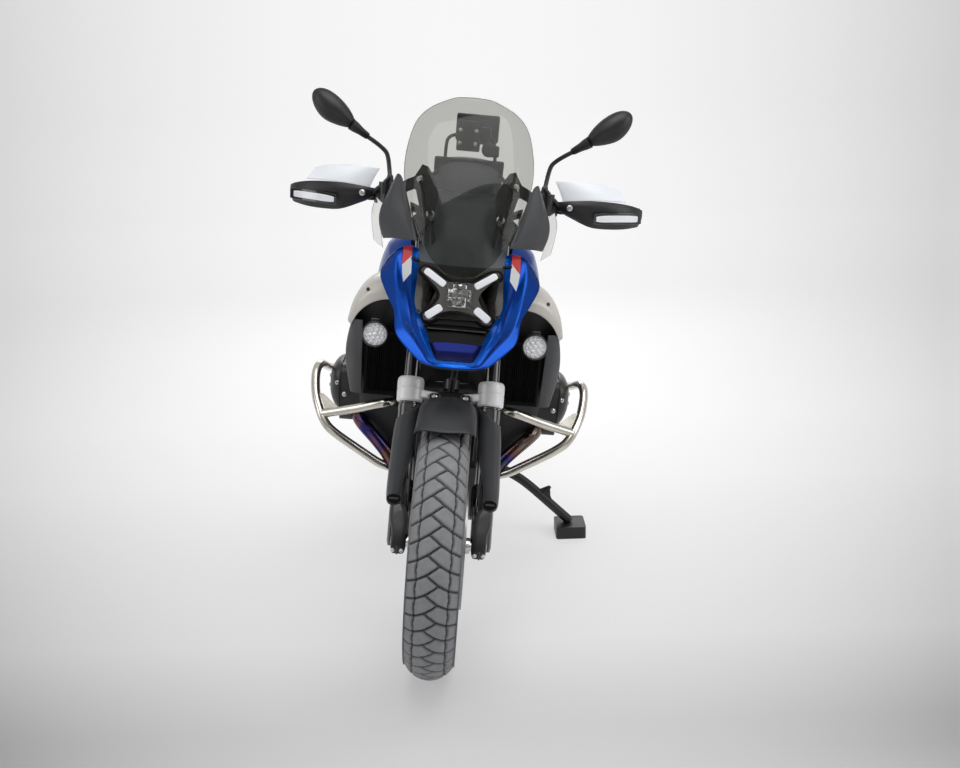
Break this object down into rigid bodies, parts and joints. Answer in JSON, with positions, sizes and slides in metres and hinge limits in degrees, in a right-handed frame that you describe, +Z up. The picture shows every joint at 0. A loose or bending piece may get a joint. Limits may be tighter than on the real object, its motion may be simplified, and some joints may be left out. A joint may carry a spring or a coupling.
{
  "type": "adventure motorcycle",
  "caption": "Adventure touring motorcycle parked on its side stand, with a beaked fairing, tall screen, flat-twin engine, crash bars and shaft drive.",
  "frame": {"origin": "bottom centre of the bounding box, on the ground", "axes": "+X to the side of the side stand (rider's left), +Y to the rear, +Z up"},
  "size_m": [0.977, 2.211, 1.4311],
  "materials": {
    "tyre": "matt",
    "wheel": "satin",
    "disc": "brushed",
    "fork_lower": "satin",
    "fork_tube": "polished",
    "collar": "satin",
    "black_metal": "satin",
    "black_plastic": "grained",
    "grip": "matt",
    "spoiler": "gloss",
    "engine": "satin",
    "head": "satin",
    "stainless": "satin",
    "blue": "gloss",
    "silver": "satin",
    "clear": "clear",
    "lamp": "gloss",
    "lamp_housing": "gloss",
    "seat": "grained",
    "red": "gloss",
    "display": "gloss"
  },
  "bodies": {
    "chassis": {"beak": "blue", "beak_underside": "black_plastic", "crash_bars": "stainless", "cylinders": "engine", "deflectors": "black_plastic", "display": "display", "engine_block": "engine", "final_drive": "engine", "fog_lamps": "lamp", "footrests": "black_metal", "frame": "black_metal", "front_arm": "black_metal", "front_carrier": "black_metal", "head_covers": "head", "headers": "stainless", "headlamp": "lamp_housing", "headlamp_lens": "clear", "light_bars": "lamp", "luggage_rack": "black_metal", "plate_holder": "black_plastic", "radiators": "black_metal", "rear_caliper": "black_metal", "rear_covers": "black_plastic", "rear_frame": "black_metal", "rear_hugger": "black_plastic", "rear_shock": "collar", "screen": "clear", "seats": "seat", "shrouds": "black_plastic", "side_panels": "silver", "silencer": "stainless", "skid_plate": "collar", "stand_bracket": "black_metal", "swing_arm": "black_metal", "tail_lights": "red", "tank": "black_plastic", "tank_panels": "blue"},
    "fork": {"front_axle": "disc", "fork_legs": "fork_lower", "fork_tubes": "fork_tube", "fork_bridge": "collar", "top_yoke": "black_metal", "handlebar": "black_metal", "levers": "black_metal", "grips": "grip", "hand_guards": "black_plastic", "guard_spoilers": "spoiler", "mirrors": "black_plastic", "front_calipers": "black_metal", "front_fender": "black_plastic"},
    "front_wheel": {"front_tyre": "tyre", "front_rim": "wheel", "front_discs": "disc"},
    "rear_wheel": {"rear_tyre": "tyre", "rear_rim": "wheel", "rear_disc": "disc"},
    "side_stand": {"side_stand": "black_metal"}
  },
  "joints": [
    {"name": "steering", "type": "hinge", "parent": "chassis", "child": "fork", "pos_m": [-0.02264, -0.43145, 0.93153], "axis": [0.1016, 0.4415, 0.8915], "range_deg": [-33.1, 36.9]},
    {"name": "front_wheel_spin", "type": "hinge", "parent": "fork", "child": "front_wheel", "pos_m": [-0.09334, -0.78062, 0.32374], "axis": [0.9947, -0.0297, -0.0986], "continuous": true},
    {"name": "rear_wheel_spin", "type": "hinge", "parent": "chassis", "child": "rear_wheel", "pos_m": [-0.09268, 0.73735, 0.31683], "axis": [0.9936, 0, -0.1132], "continuous": true},
    {"name": "side_stand_fold", "type": "hinge", "parent": "chassis", "child": "side_stand", "pos_m": [0.04995, 0.03435, 0.24359], "axis": [0.5943, 0.1, 0.798], "range_deg": [0, 92]}
  ]
}
